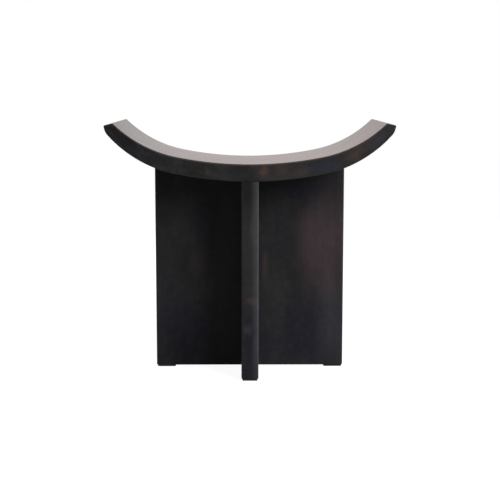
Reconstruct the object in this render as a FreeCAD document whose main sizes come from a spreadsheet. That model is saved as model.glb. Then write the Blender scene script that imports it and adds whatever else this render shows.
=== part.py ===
import FreeCAD, Part
from collections import namedtuple
import math
import os
import Sketcher

# A stool of dark solid wood. Its hollow seat is glued up from staves that were sawn to one curve, and it
# stands on two upright panels, halved into each other at mid height and coped to the seat's underside.
# The origin is on the floor below the middle of the seat, X along the width, Y towards the rear, Z up.

# Driving sizes in millimetres.
SIZES = {
    # Seat: overall box, hollow, and the vertical thickness that the saw leaves between the two curves.
    "seat_width": 500,
    "seat_depth": 250,
    "seat_height": 450,
    "seat_dip": 70,
    "seat_thick": 30,
    # The curve is a wide middle arc that runs on into a tighter arc at each end, this far across.
    "middle_radius": 640,
    "end_run": 109,
    # Each tip keeps a strip of the block's top and a strip of its end.
    "tip_land": 16,
    "tip_face": 8.5,
    "tip_inner_round": 2,
    "tip_outer_round": 4,
    "tip_lower_round": 6,
    # Panels of the base.
    "panel_thick": 30,
    "wide_panel_width": 342,
    "panel_end_round": 3.5,
    "arris_bevel": 1.2,
    # Fits between the pieces of the base and the seat.
    "glue_line": 0.1,
    "halving_fit": 0.1,
    "halving_end_room": 0.5,
    # Hidden dowels that pin the seat to the panels.
    "dowel_diameter": 10,
    "dowel_in_seat": 16,
    "dowel_in_panel": 32,
    "dowel_bevel": 1,
    "dowel_fit": 0.1,
    "dowel_end_room": 1,
    # Floor pads under the panel ends.
    "pad_thick": 3,
    "pad_length": 33,
    "pad_margin": 0.5,
    "pad_corner_round": 3,
}

STAVES = ("front", "mid_front", "centre", "mid_rear", "rear")
BOARDS = 3

# Points of a sketch's curves, and its own origin and axes, as the sketcher numbers them.
START, END, CENTRE = range(1, 4)
LEVEL_AXIS, UPRIGHT_AXIS = range(-1, -3, -1)
SKETCH_ORIGIN = (LEVEL_AXIS, START)

UP = FreeCAD.Vector(0, 0, 1)
QUARTER_TURN = 90
NEAR = 0.001


class Size:
    """A length as its present value and as the spreadsheet formula that drives it."""

    def __init__(self, value, formula):
        self.value = value
        self.formula = formula

    def __add__(self, other):
        return Size(self.value + other.value, f"({self.formula} + {other.formula})")

    def __sub__(self, other):
        return Size(self.value - other.value, f"({self.formula} - {other.formula})")

    def __mul__(self, number):
        return Size(self.value * number, f"({self.formula} * {number})")

    def __truediv__(self, number):
        return Size(self.value / number, f"({self.formula} / {number})")

    def __neg__(self):
        return self * -1


def leg_of(slope, base):
    """The other leg of a right triangle, from its slope and its base."""
    value = math.sqrt(slope.value ** 2 - base.value ** 2)
    return Size(value, f"sqrt({slope.formula} ^ 2 - {base.formula} ^ 2)")


def make_sheet(document):
    """Write every driving size to a cell that bears its name."""
    sheet = document.addObject("Spreadsheet::Sheet", "Sizes")
    for row, (name, number) in enumerate(SIZES.items(), start=1):
        sheet.set(f"A{row}", name)
        sheet.set(f"B{row}", str(number))
        sheet.setAlias(f"B{row}", name)
    document.recompute()
    return sheet


doc = FreeCAD.newDocument("Stool")
sheet_of_sizes = make_sheet(doc)


def size(name):
    return Size(float(sheet_of_sizes.get(name)), f"Sizes.{name}")


# Seat: the curve's low point, where it changes radius, where it ends, and the staves across the depth.
seat_low = size("seat_height") - size("seat_dip")
half_width = size("seat_width") / 2
tip_x = half_width - size("tip_land")
half_span = tip_x - size("end_run")
stave_width = size("seat_depth") / len(STAVES)

# Base: both panels reach from their pads to the glue line below the seat, and are halved at mid height.
underside_drop = size("seat_thick") + size("glue_line")
panel_bottom = size("pad_thick")
halving_height = (seat_low - underside_drop + panel_bottom) / 2
half_thick = size("panel_thick") / 2
slot_half = half_thick + size("halving_fit")
half_room = size("halving_end_room") / 2
mortise_radius = size("dowel_diameter") / 2 + size("dowel_fit")

# A panel is boards edge to edge, and stands along the width or along the depth.
Panel = namedtuple("Panel", "name board_names board_width cope_plane turn slot_from_top")
wide_panel = Panel("wide_panel", ("left", "middle", "right"), size("wide_panel_width") / BOARDS,
                   "XZ_Plane", 0, True)
cross_panel = Panel("cross_panel", ("front", "middle", "rear"), size("seat_depth") / BOARDS,
                    "YZ_Plane", QUARTER_TURN, False)

# In the wide panel a dowel stands on each side of the halving and in the middle of each outer board.
wide_inner = (half_thick + wide_panel.board_width / 2) / 2
wide_outer = wide_panel.board_width
# In the cross panel one stands below the middle of each outer stave, and one between each board joint and
# the stave joint outside it.
outer_stave_joint = stave_width * (len(STAVES) / 2 - 1)
cross_inner = (cross_panel.board_width / 2 + outer_stave_joint) / 2
cross_outer = stave_width * ((len(STAVES) - 1) / 2)

# Each dowel by the panel, board and stave that it joins. It lies on the axis that has no distance.
Dowel = namedtuple("Dowel", "panel board stave x y")
DOWELS = (
    Dowel(wide_panel, "left", "centre", -wide_outer, None),
    Dowel(wide_panel, "middle", "centre", -wide_inner, None),
    Dowel(wide_panel, "middle", "centre", wide_inner, None),
    Dowel(wide_panel, "right", "centre", wide_outer, None),
    Dowel(cross_panel, "front", "front", None, -cross_outer),
    Dowel(cross_panel, "front", "mid_front", None, -cross_inner),
    Dowel(cross_panel, "rear", "mid_rear", None, cross_inner),
    Dowel(cross_panel, "rear", "rear", None, cross_outer),
)


def bind(item, prop, length):
    item.setExpression(prop, length.formula)


def new_body(label, x=None, y=None, z=None, turn=0):
    """A body at its place in the stool, turned about the upright axis."""
    body = doc.addObject("PartDesign::Body", label)
    body.Label = label
    body.Placement = FreeCAD.Placement(FreeCAD.Vector(), FreeCAD.Rotation(UP, turn))
    for axis, length in (("x", x), ("y", y), ("z", z)):
        if length is not None:
            bind(body, f"Placement.Base.{axis}", length)
    return body


def new_sketch(body, name, role, height=None):
    """A sketch on one of the body's own origin planes, or at a height above it."""
    sketch = body.newObject("Sketcher::SketchObject", name)
    plane = next(feature for feature in body.Origin.OriginFeatures if feature.Role == role)
    sketch.AttachmentSupport = [(plane, "")]
    sketch.MapMode = "FlatFace"
    if height is not None:
        bind(sketch, "AttachmentOffset.Base.z", height)
    return sketch


def point(across, up):
    return FreeCAD.Vector(across, up, 0)


def set_length(sketch, kind, elements, length):
    """Add a dimension of that kind to the sketch and let the length drive it."""
    row = sketch.addConstraint(Sketcher.Constraint(kind, *elements, length.value))
    bind(sketch, f"Constraints[{row}]", length)


def fix_point(sketch, curve, end, across=None, up=None):
    """Hold a point of a curve at a distance across and up from the sketch's origin."""
    if across is not None:
        set_length(sketch, "DistanceX", (*SKETCH_ORIGIN, curve, end), across)
    if up is not None:
        set_length(sketch, "DistanceY", (*SKETCH_ORIGIN, curve, end), up)


def put_on_axis(sketch, curve, end, axis):
    sketch.addConstraint(Sketcher.Constraint("PointOnObject", curve, end, axis))


def join(sketch, curve, end, other, other_end):
    sketch.addConstraint(Sketcher.Constraint("Coincident", curve, end, other, other_end))


def add_line(sketch, start, end, direction=None):
    line = sketch.addGeometry(Part.LineSegment(start, end))
    if direction is not None:
        sketch.addConstraint(Sketcher.Constraint(direction, line))
    return line


def add_rectangle(sketch, left, right, bottom, top):
    low_left = point(left.value, bottom.value)
    low_right = point(right.value, bottom.value)
    high_right = point(right.value, top.value)
    high_left = point(left.value, top.value)
    lines = [
        add_line(sketch, low_left, low_right, "Horizontal"),
        add_line(sketch, low_right, high_right, "Vertical"),
        add_line(sketch, high_right, high_left, "Horizontal"),
        add_line(sketch, high_left, low_left, "Vertical"),
    ]
    for line, following in zip(lines, lines[1:] + lines[:1]):
        join(sketch, line, END, following, START)
    fix_point(sketch, lines[0], START, left, bottom)
    fix_point(sketch, lines[2], START, right, top)


def add_circle(sketch, radius, across=None, up=None):
    """A circle whose centre lies on the axis that has no distance."""
    centre = point(across.value if across else 0, up.value if up else 0)
    circle = sketch.addGeometry(Part.Circle(centre, UP, radius.value))
    set_length(sketch, "Radius", (circle,), radius)
    fix_point(sketch, circle, CENTRE, across, up)
    if across is None:
        put_on_axis(sketch, circle, CENTRE, UPRIGHT_AXIS)
    if up is None:
        put_on_axis(sketch, circle, CENTRE, LEVEL_AXIS)


def lowered(height, drop):
    return height if drop is None else height - drop


class SeatCurve:
    """The seat's curve in a sketch, moved down by a drop: a middle arc and a tangent arc at each end."""

    def __init__(self, sketch, drop=None):
        self.sketch = sketch
        self.tip_height = lowered(size("seat_height"), drop)
        self.radius = size("middle_radius")
        self.height = lowered(seat_low, drop) + self.radius
        self.turn = math.asin(half_span.value / self.radius.value)
        self.end_radius = self.find_end_radius()
        self.middle = self.add_middle_arc()
        self.right = self.add_end_arc(1, START, END)
        self.left = self.add_end_arc(-1, END, START)

    def find_end_radius(self):
        """An end arc leaves the middle arc along its tangent and passes through the tip."""
        across = tip_x.value - half_span.value
        up = self.tip_height.value - self.height.value + self.radius.value * math.cos(self.turn)
        bend = math.atan2(up, across) - self.turn
        return math.hypot(across, up) / (2 * math.sin(bend))

    def end_centre(self):
        reach = self.radius.value - self.end_radius
        return reach * math.sin(self.turn), self.height.value - reach * math.cos(self.turn)

    def end_turn(self, across):
        """How far an end arc has turned from the vertical at a distance across."""
        return math.asin((across - self.end_centre()[0]) / self.end_radius)

    def height_at(self, across):
        return self.end_centre()[1] - self.end_radius * math.cos(self.end_turn(across))

    def add_arc(self, centre, radius, turns):
        first, last = (turn - math.pi / 2 for turn in sorted(turns))
        return self.sketch.addGeometry(Part.ArcOfCircle(Part.Circle(centre, UP, radius), first, last))

    def add_middle_arc(self):
        arc = self.add_arc(point(0, self.height.value), self.radius.value, (-self.turn, self.turn))
        set_length(self.sketch, "Radius", (arc,), self.radius)
        put_on_axis(self.sketch, arc, CENTRE, UPRIGHT_AXIS)
        fix_point(self.sketch, arc, CENTRE, up=self.height)
        fix_point(self.sketch, arc, START, across=-half_span)
        fix_point(self.sketch, arc, END, across=half_span)
        return arc

    def add_end_arc(self, side, inner, outer):
        across, up = self.end_centre()
        turns = (side * self.turn, side * self.end_turn(tip_x.value))
        arc = self.add_arc(point(side * across, up), self.end_radius, turns)
        self.sketch.addConstraint(Sketcher.Constraint("Tangent", arc, inner, self.middle, outer))
        return arc

    def end_at(self, across, up=None):
        """Let both end arcs run as far as a distance across, at a height where one is given."""
        fix_point(self.sketch, self.right, END, across, up)
        fix_point(self.sketch, self.left, START, -across, up)

    def use_end_arcs_of(self, other):
        self.sketch.addConstraint(Sketcher.Constraint("Equal", self.right, other.right))
        self.sketch.addConstraint(Sketcher.Constraint("Equal", self.left, other.left))


def add_pad(body, sketch, length, side="Symmetric"):
    pad = body.newObject("PartDesign::Pad", "Blank")
    pad.Profile = sketch
    pad.SideType = side
    bind(pad, "Length", length)
    doc.recompute()


def add_cut(body, sketch, name, side="Symmetric", upwards=False):
    """Cut the sketch right through the body, to both sides, or from its plane down or up."""
    before = body.Shape.Volume
    cut = body.newObject("PartDesign::Pocket", name)
    cut.Profile = sketch
    cut.Type = "ThroughAll"
    cut.SideType = side
    cut.Reversed = upwards
    doc.recompute()
    if body.Shape.Volume > before - NEAR:
        raise RuntimeError(f"{name} removes nothing from {body.Label}")


def finish_edges(body, kind, prop, length, wanted):
    """Round or bevel the edges of the body that the wanted test picks."""
    base = body.Tip
    edges = [f"Edge{row}" for row, edge in enumerate(base.Shape.Edges, start=1) if wanted(edge)]
    finish = body.newObject(f"PartDesign::{kind}", kind)
    finish.Base = (base, edges)
    bind(finish, prop, length)
    doc.recompute()


def round_edges(body, radius, wanted):
    finish_edges(body, "Fillet", "Radius", radius, wanted)


def bevel_edges(body, width, wanted):
    finish_edges(body, "Chamfer", "Size", width, wanted)


def spots_on(edge):
    """An edge's start, middle and end."""
    middle = (edge.FirstParameter + edge.LastParameter) / 2
    return [edge.valueAt(place) for place in (edge.FirstParameter, middle, edge.LastParameter)]


def lies_at(edge, axis, *distances):
    """Whether an edge lies in a plane at one of the distances along the axis."""
    places = [getattr(spot, axis) for spot in spots_on(edge)]
    return any(all(abs(place - distance) < NEAR for place in places) for distance in distances)


def both_sides(length):
    return length.value, -length.value


def underside_height(x):
    """Height of the seat's underside above a dowel, which stands below the middle arc."""
    low = seat_low - size("seat_thick")
    if x is None:
        return low
    return low + size("middle_radius") - leg_of(size("middle_radius"), x)


def dowel_top(dowel):
    return underside_height(dowel.x) + size("dowel_in_seat")


def dowel_foot(dowel):
    return underside_height(dowel.x) - size("glue_line") - size("dowel_in_panel")


def add_stave_outline(body):
    """A stave's profile: the seat's curve, the same curve a thickness lower, and the two tips."""
    sketch = new_sketch(body, "StaveOutline", "XZ_Plane")
    upper = SeatCurve(sketch)
    upper.end_at(tip_x, upper.tip_height)
    lower = SeatCurve(sketch, size("seat_thick"))
    lower.use_end_arcs_of(upper)
    lower.end_at(half_width)
    face_foot = lower.height_at(half_width.value)
    face_top = face_foot + size("tip_face").value
    tips = ((1, upper.right, lower.right, END), (-1, upper.left, lower.left, START))
    for side, upper_arc, lower_arc, arc_end in tips:
        corner = point(side * half_width.value, face_top)
        face = add_line(sketch, point(side * half_width.value, face_foot), corner, "Vertical")
        land = add_line(sketch, corner, point(side * tip_x.value, upper.tip_height.value))
        join(sketch, face, START, lower_arc, arc_end)
        join(sketch, face, END, land, START)
        join(sketch, land, END, upper_arc, arc_end)
        set_length(sketch, "DistanceY", (face, START, face, END), size("tip_face"))
    return sketch, face_foot, face_top


def make_stave(row, name):
    """One stave of the seat, with a blind mortise for each dowel that ends in it."""
    last = len(STAVES) - 1
    middle_y = stave_width * (row - last / 2)
    body = new_body(f"seat_stave_{name}", y=middle_y)
    outline, face_foot, face_top = add_stave_outline(body)
    add_pad(body, outline, stave_width)
    for dowel in DOWELS:
        if dowel.stave == name:
            mortise_top = dowel_top(dowel) + size("dowel_end_room")
            mortise = new_sketch(body, "MortiseOutline", "XY_Plane", mortise_top)
            along = None if dowel.y is None else dowel.y - middle_y
            add_circle(mortise, mortise_radius, dowel.x, along)
            add_cut(body, mortise, "Mortise", "One side")
    ends = both_sides(half_width)
    round_edges(body, size("tip_inner_round"), lambda edge: lies_at(edge, "x", *both_sides(tip_x)))
    round_edges(body, size("tip_outer_round"),
                lambda edge: lies_at(edge, "x", *ends) and lies_at(edge, "z", face_top))
    round_edges(body, size("tip_lower_round"),
                lambda edge: lies_at(edge, "x", *ends) and lies_at(edge, "z", face_foot))
    if row in (0, last):
        outer_face = math.copysign(stave_width.value / 2, middle_y.value)
        bevel_edges(body, size("arris_bevel"), lambda edge: lies_at(edge, "y", outer_face))
    return body


def add_cope_outline(sketch):
    """All that lies above the seat's underside, for the cope of a panel's top edge."""
    curve = SeatCurve(sketch, underside_drop)
    curve.end_at(tip_x, curve.tip_height)
    top = size("seat_height") + size("seat_thick")
    right_tip = point(tip_x.value, curve.tip_height.value)
    right_top = point(tip_x.value, top.value)
    left_top = point(-tip_x.value, top.value)
    left_tip = point(-tip_x.value, curve.tip_height.value)
    right = add_line(sketch, right_tip, right_top, "Vertical")
    level = add_line(sketch, right_top, left_top, "Horizontal")
    left = add_line(sketch, left_top, left_tip, "Vertical")
    join(sketch, right, START, curve.right, END)
    join(sketch, right, END, level, START)
    join(sketch, level, END, left, START)
    join(sketch, left, END, curve.left, START)
    fix_point(sketch, level, START, up=top)


def add_slot_outline(sketch, panel):
    """Half of the halving: the slot that the other panel slides into, from the top or from below."""
    if panel.slot_from_top:
        add_rectangle(sketch, -slot_half, slot_half, halving_height - half_room, size("seat_height"))
    else:
        add_rectangle(sketch, -slot_half, slot_half, -panel_bottom, halving_height + half_room)


def make_board(panel, row, name):
    """One board of a panel, modelled along X and then turned to stand where the panel does."""
    left = panel.board_width * (row - BOARDS / 2)
    right = panel.board_width * (row + 1 - BOARDS / 2)
    body = new_body(f"{panel.name}_{name}_board", turn=panel.turn)
    outline = new_sketch(body, "BoardOutline", "XZ_Plane")
    add_rectangle(outline, left, right, panel_bottom, size("seat_height"))
    add_pad(body, outline, size("panel_thick"))
    cope = new_sketch(body, "CopeOutline", panel.cope_plane)
    add_cope_outline(cope)
    add_cut(body, cope, "Cope")
    if row == BOARDS // 2:
        slot = new_sketch(body, "SlotOutline", "XZ_Plane")
        add_slot_outline(slot, panel)
        add_cut(body, slot, "Slot")
    for dowel in DOWELS:
        if dowel.panel is panel and dowel.board == name:
            mortise_floor = dowel_foot(dowel) - size("dowel_end_room")
            mortise = new_sketch(body, "MortiseOutline", "XY_Plane", mortise_floor)
            add_circle(mortise, mortise_radius, dowel.x or dowel.y)
            add_cut(body, mortise, "Mortise", "One side", upwards=True)
    ease_board(body, {0: left.value, BOARDS - 1: right.value}.get(row))
    return body


def ease_board(body, free_end):
    """Round the upright arrises of a free end, then bevel the foot's outer arrises."""
    sides = both_sides(half_thick)
    if free_end is not None:
        round_edges(body, size("panel_end_round"),
                    lambda edge: lies_at(edge, "x", free_end) and lies_at(edge, "y", *sides))
    end_zone = size("panel_end_round").value + NEAR

    def is_foot_arris(edge):
        at_side = lies_at(edge, "y", *sides)
        at_end = free_end is not None and all(abs(spot.x - free_end) < end_zone for spot in spots_on(edge))
        return lies_at(edge, "z", panel_bottom.value) and (at_side or at_end)

    bevel_edges(body, size("arris_bevel"), is_foot_arris)


def make_dowel(row, dowel):
    """A plain dowel with bevelled ends, half hidden in the seat and half in a panel."""
    body = new_body(f"{dowel.panel.name}_dowel_{row}", dowel.x, dowel.y, dowel_foot(dowel))
    section = new_sketch(body, "DowelSection", "XY_Plane")
    add_circle(section, size("dowel_diameter") / 2)
    add_pad(body, section, size("dowel_in_panel") + size("glue_line") + size("dowel_in_seat"), "One side")
    bevel_edges(body, size("dowel_bevel"), lambda edge: isinstance(edge.Curve, Part.Circle))
    return body


def make_dowel_group(panel):
    dowels = [dowel for dowel in DOWELS if dowel.panel is panel]
    group = doc.addObject("Part::Compound", f"{panel.name}_dowels")
    group.Links = [make_dowel(row, dowel) for row, dowel in enumerate(dowels)]
    doc.recompute()
    return group


def pad_place(panel_half):
    """How far from the middle a floor pad lies, so that it seats inside the bevelled end of a panel."""
    return panel_half - size("arris_bevel") - size("pad_margin") - size("pad_length") / 2


def make_floor_pad(name, turn=0, x=None, y=None):
    body = new_body(f"floor_pad_{name}", x, y, turn=turn)
    half_length = size("pad_length") / 2
    half_pad = half_thick - size("arris_bevel") - size("pad_margin")
    outline = new_sketch(body, "PadOutline", "XY_Plane")
    add_rectangle(outline, -half_length, half_length, -half_pad, half_pad)
    add_pad(body, outline, size("pad_thick"), "One side")
    round_edges(body, size("pad_corner_round"),
                lambda edge: (lies_at(edge, "x", *both_sides(half_length))
                              and lies_at(edge, "y", *both_sides(half_pad))))
    return body


def make_stool():
    pieces = [make_stave(row, name) for row, name in enumerate(STAVES)]
    for panel in (wide_panel, cross_panel):
        pieces += [make_board(panel, row, name) for row, name in enumerate(panel.board_names)]
        pieces.append(make_dowel_group(panel))
    across = pad_place(size("wide_panel_width") / 2)
    along = pad_place(size("seat_depth") / 2)
    pieces.append(make_floor_pad("left", x=-across))
    pieces.append(make_floor_pad("right", x=across))
    pieces.append(make_floor_pad("front", QUARTER_TURN, y=-along))
    pieces.append(make_floor_pad("rear", QUARTER_TURN, y=along))
    return pieces


def write_parts(pieces):
    """Stop on any failed feature or bad shape, then write each piece to its own file."""
    for item in doc.Objects:
        if "Invalid" in item.State or "Error" in item.State:
            raise RuntimeError(f"{item.Label} failed")
    for piece in pieces:
        if piece.Shape.isNull() or not piece.Shape.isValid():
            raise RuntimeError(f"{piece.Label} has no good shape")
    os.makedirs("parts", exist_ok=True)
    for piece in pieces:
        piece.Shape.exportStep(f"parts/{piece.Label}.step")


write_parts(make_stool())
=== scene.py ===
from collections import namedtuple
import math

import bpy
from bpy.props import FloatProperty, FloatVectorProperty, IntProperty, PointerProperty
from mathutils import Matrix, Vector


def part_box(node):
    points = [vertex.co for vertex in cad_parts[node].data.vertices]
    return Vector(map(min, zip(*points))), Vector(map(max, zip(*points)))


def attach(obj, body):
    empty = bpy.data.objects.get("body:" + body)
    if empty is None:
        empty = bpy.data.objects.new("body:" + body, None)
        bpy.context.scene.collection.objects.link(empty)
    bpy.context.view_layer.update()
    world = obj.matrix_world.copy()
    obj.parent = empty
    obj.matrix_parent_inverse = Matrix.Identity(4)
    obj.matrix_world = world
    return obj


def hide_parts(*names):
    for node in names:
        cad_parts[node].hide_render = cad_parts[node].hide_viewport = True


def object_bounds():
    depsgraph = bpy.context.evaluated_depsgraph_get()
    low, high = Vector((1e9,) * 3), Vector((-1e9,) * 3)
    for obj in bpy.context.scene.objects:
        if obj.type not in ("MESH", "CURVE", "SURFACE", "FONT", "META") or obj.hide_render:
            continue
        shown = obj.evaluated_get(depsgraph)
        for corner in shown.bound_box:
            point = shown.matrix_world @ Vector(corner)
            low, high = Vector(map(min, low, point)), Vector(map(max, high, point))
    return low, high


# A low stool of ebonised wood in metres, X along the width, Y towards the rear, Z up from the floor.

bl_info = {
    "name": "Curved-seat stool",
    "version": (1, 0, 0),
    "blender": (4, 5, 0),
    "location": "View3D > Sidebar > Stool",
    "description": "Dresses a stool of ebonised wood: seat, base panels, dowels, floor pads and stage",
    "category": "Object",
}

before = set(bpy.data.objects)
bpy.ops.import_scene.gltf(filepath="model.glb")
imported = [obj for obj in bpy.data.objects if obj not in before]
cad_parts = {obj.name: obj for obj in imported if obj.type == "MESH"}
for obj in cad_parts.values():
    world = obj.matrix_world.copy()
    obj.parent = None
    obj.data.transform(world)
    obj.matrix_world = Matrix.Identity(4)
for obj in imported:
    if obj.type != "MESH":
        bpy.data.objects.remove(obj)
CAD_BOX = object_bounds()

BODY = "root"
STAVES = ("front", "mid_front", "centre", "mid_rear", "rear")
PADS = ("left", "right", "front", "rear")
BOARDS = (
    "wide_panel_left_board", "wide_panel_middle_board", "wide_panel_right_board",
    "cross_panel_front_board", "cross_panel_middle_board", "cross_panel_rear_board",
)
DOWELS = ("wide_panel_dowels", "cross_panel_dowels")

# Places on a front face, in millimetres across and up, where the stain is rubbed thin, lies thick and cool,
# is deepest or is worn pale. Each has its reach and its strength. On the seat, up counts from the middle of
# the thickness, along the curve. On the base a few of these are painted light and shade, as marked below.
Spot = namedtuple("Spot", "across up wide tall strength")
SEAT_RUBBED = (Spot(24, 2, 15, 15, 0.85), Spot(54, 3, 20, 16, 0.4), Spot(178, 3, 24, 16, 0.5),
               Spot(-72, -2, 11, 12, 0.6))
SEAT_COOL = (Spot(130, -2, 50, 25, 1), Spot(-28, -6, 26, 12, 0.7), Spot(222, 2, 28, 25, 0.7))
SEAT_DEEP = (Spot(-200, 0, 60, 40, 0.5), Spot(-150, 0, 60, 40, 0.3), Spot(-15, 0, 40, 25, 0.28))
SEAT_WORN = (Spot(212, 2, 50, 40, 0.1), Spot(90, 0, 22, 30, 0.12))
PANEL_RUBBED = (Spot(140, 225, 75, 130, 0.75), Spot(28, 190, 9, 35, 0.5), Spot(-90, 190, 25, 35, 0.3))
PANEL_COOL = (Spot(110, 60, 100, 110, 1), Spot(-110, 60, 100, 125, 1), Spot(90, 330, 90, 45, 0.8))
# The wide panel's deep spot at its lower left is painted shade, darker towards the floor.
PANEL_PAINTED_SHADE = (Spot(-115, 20, 100, 70, 0.6),)
# The wide panel's worn spot at its lower right is painted light, on the side of the lamp.
PANEL_PAINTED_LIGHT = (Spot(150, 70, 45, 130, 0.15),)
STRIP_RUBBED = (Spot(2, 142, 13, 11, 0.6),)
STRIP_COOL = (Spot(0, 60, 30, 120, 0.8),)
STRIP_DEEP = (Spot(-6, 338, 18, 45, 0.6),)
# The strip's first two worn spots, down its right side, are a painted highlight from the lamp on the right.
STRIP_HIGHLIGHT_AND_WEAR = (Spot(15, 230, 4, 600, 0.6), Spot(12, 230, 13, 560, 0.28), Spot(-3, 92, 18, 16, 0.18))

# How one lot of wood looks: the way from the middle of its growth rings to the stool's middle, the sizes of
# a streak, a pore and a patch, the axes across its grain, its spots with their colours and how much their
# rims fray, and each worn arris as a place with its strength. Both lots share one deep colour.
# On the base one deep spot is painted shade, and some worn spots and the worn hue are painted light.
Wood = namedtuple("Wood", (
    "heart", "streak", "pore", "patch", "axes",
    "rubbed", "rubbed_hue", "cool", "cool_hue", "deep", "worn", "worn_hue", "fray", "arrises",
))
# The figure of a lot of wood, as the sockets of its streaks and pores, of the patches where its stain is
# warm, thick or thin, of its mottle, of what frays a spot's rim, and of its grain of streaks and rings.
Figure = namedtuple("Figure", "streaks pores warm thick thin mottle rims grain")

MM = 0.001

# Width of a growth ring, how far rings bend, and their share in the grain beside the streaks.
RING = 7 * MM
RING_BEND = 12 * MM
RING_SHARE = 0.4
# Size of the fine mottle, and height of the relief.
MOTTLE = 11 * MM
RELIEF = 0.2 * MM
# These set the noises for thick and for thin stain off from each other, in the same coordinates.
THICK_SEED = 8.3
THIN_SEED = 3.7
# How deep a spot goes into the wood. Its noise adds about half a reach to the distance from its middle, so
# a spot is full at the middle and ends about a reach away.
SPOT_DEPTH = 20 * MM
SPOT_FULL = 0.5
SPOT_END = 1.5
# Wear is full this near to an arris and ends this far from it. Streaks break it by up to the third length.
WEAR_FULL = 1.5 * MM
WEAR_END = 4.5 * MM
WEAR_BREAK = 2 * MM

# A grain of the rubber, drawn coarser than it is, and a fleck along a beech rod.
RUBBER_GRAIN = 0.8 * MM
BEECH_FLECK = (0.6 * MM, 0.6 * MM, 4 * MM)

# Points nearer than this are the same, and an edge with a wider angle is a square one.
NEAR = 0.01 * MM
SQUARE_EDGE = math.radians(30)

# The floor is grey for the light that it throws on the stool, and glows white, with a shadow, for the eye.
FLOOR_REACH = 6.0
FLOOR_PAINT = (0.2, 0.2, 0.2, 1)
FLOOR_SHADOW = (0.25, 0.25, 0.25, 1)
FLOOR_GLOW = 0.93
WHITE = (1, 1, 1, 1)

# Width of the camera's sensor in millimetres, and side of the picture in pixels.
SENSOR_WIDTH = 36
PHOTO_SIDE = 500

# Sockets of a Mix node go by number, because every kind of value has the same names.
VALUE_A, VALUE_B = 2, 3
COLOUR_A, COLOUR_B = 6, 7
MIXED_COLOUR = 2


def linear(hex_colour):
    """An sRGB hex colour as linear red, green and blue."""
    channels = [int(hex_colour[at:at + 2], 16) / 255 for at in (1, 3, 5)]
    return [c / 12.92 if c <= 0.04045 else ((c + 0.055) / 1.055) ** 2.4 for c in channels]


def length(name, description, default):
    """A property for a length in metres."""
    return FloatProperty(name=name, description=description, default=default, subtype="DISTANCE",
                         unit="LENGTH", precision=4)


def point(name, description, default):
    """A property for a place in the scene."""
    return FloatVectorProperty(name=name, description=description, default=default,
                               subtype="TRANSLATION", unit="LENGTH")


def colour(name, description, default):
    """A property for a colour, whose default is sRGB hex."""
    return FloatVectorProperty(name=name, description=description, default=linear(default),
                               subtype="COLOR", min=0, max=1)


class StoolSeatSizes(bpy.types.PropertyGroup):
    """The seat's curve and the easing of its edges"""

    thickness: length("Thickness", "Vertical thickness between the two curves", 30 * MM)
    dip: length("Dip", "Depth of the hollow below the tips", 70 * MM)
    middle_radius: length("Middle radius", "Radius of the wide middle arc", 640 * MM)
    end_run: length("End run", "How far across each tighter end arc runs", 109 * MM)
    tip_land: length("Tip land", "Width of the planed strip on top of each tip", 16 * MM)
    tip_face: length("Tip face", "Height of a tip's outer edge above the lower curve", 8.5 * MM)
    end_lean: length("End lean", "How far an end face leans in at its foot", 3.5 * MM)
    inner_ease: length("Inner easing", "Reach of the rounding where the hollow meets the land", 1.1 * MM)
    outer_ease: length("Outer easing", "Reach of the rounding at the outer corner of a tip", 2.6 * MM)
    lower_ease: length("Lower easing", "Reach of the rounding below an end face", 5 * MM)
    arris_ease: length("Arris easing", "Reach of the rounding along the front and rear arrises", 1.2 * MM)
    dowel_room: length("Dowel room", "Gap all round a dowel in its mortise", 0.1 * MM)
    columns: IntProperty(name="Columns", description="Vertices along a stave", default=121, min=9)


class StoolPadSizes(bpy.types.PropertyGroup):
    """The stick-on pads under the panel ends"""

    corner: length("Corner", "Radius of a pad's corners", 3 * MM)
    ease: length("Easing", "Rounding of a pad's rims", 0.4 * MM)


class StoolFinish(bpy.types.PropertyGroup):
    """Colours of the ebonised wood and of the small parts"""

    black: colour("Black", "Stain where it took fully", "#252526")
    brown: colour("Brown black", "Stain where it took less", "#302e2e")
    # This black also paints shade at the wide panel's lower left, towards the floor.
    deep: colour("Deep black", "Stain where it lies deepest", "#171617")
    seat_cool: colour("Seat cool", "The seat's stain where it lies thickest", "#2b2d35")
    seat_rubbed: colour("Seat rubbed", "The seat where the stain is rubbed thin", "#4f3e39")
    seat_worn: colour("Seat worn", "The seat where it is worn, as along its arrises", "#64574f")
    base_cool: colour("Base cool", "The base's stain where it lies thickest", "#22222c")
    base_rubbed: colour("Base rubbed", "The base where the stain is rubbed thin", "#483b3e")
    # This grey also paints light down the strip's right side and on the wide panel's lower right.
    base_wear_and_highlight: colour("Base worn", "The base where it is worn, as along its arrises", "#66656b")
    wax: colour("Wax", "Bloom of the wax at a low angle", "#e67440")
    rubber: colour("Rubber", "Floor pads", "#151515")
    beech: colour("Beech", "Hidden dowels", "#c9a47b")


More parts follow.
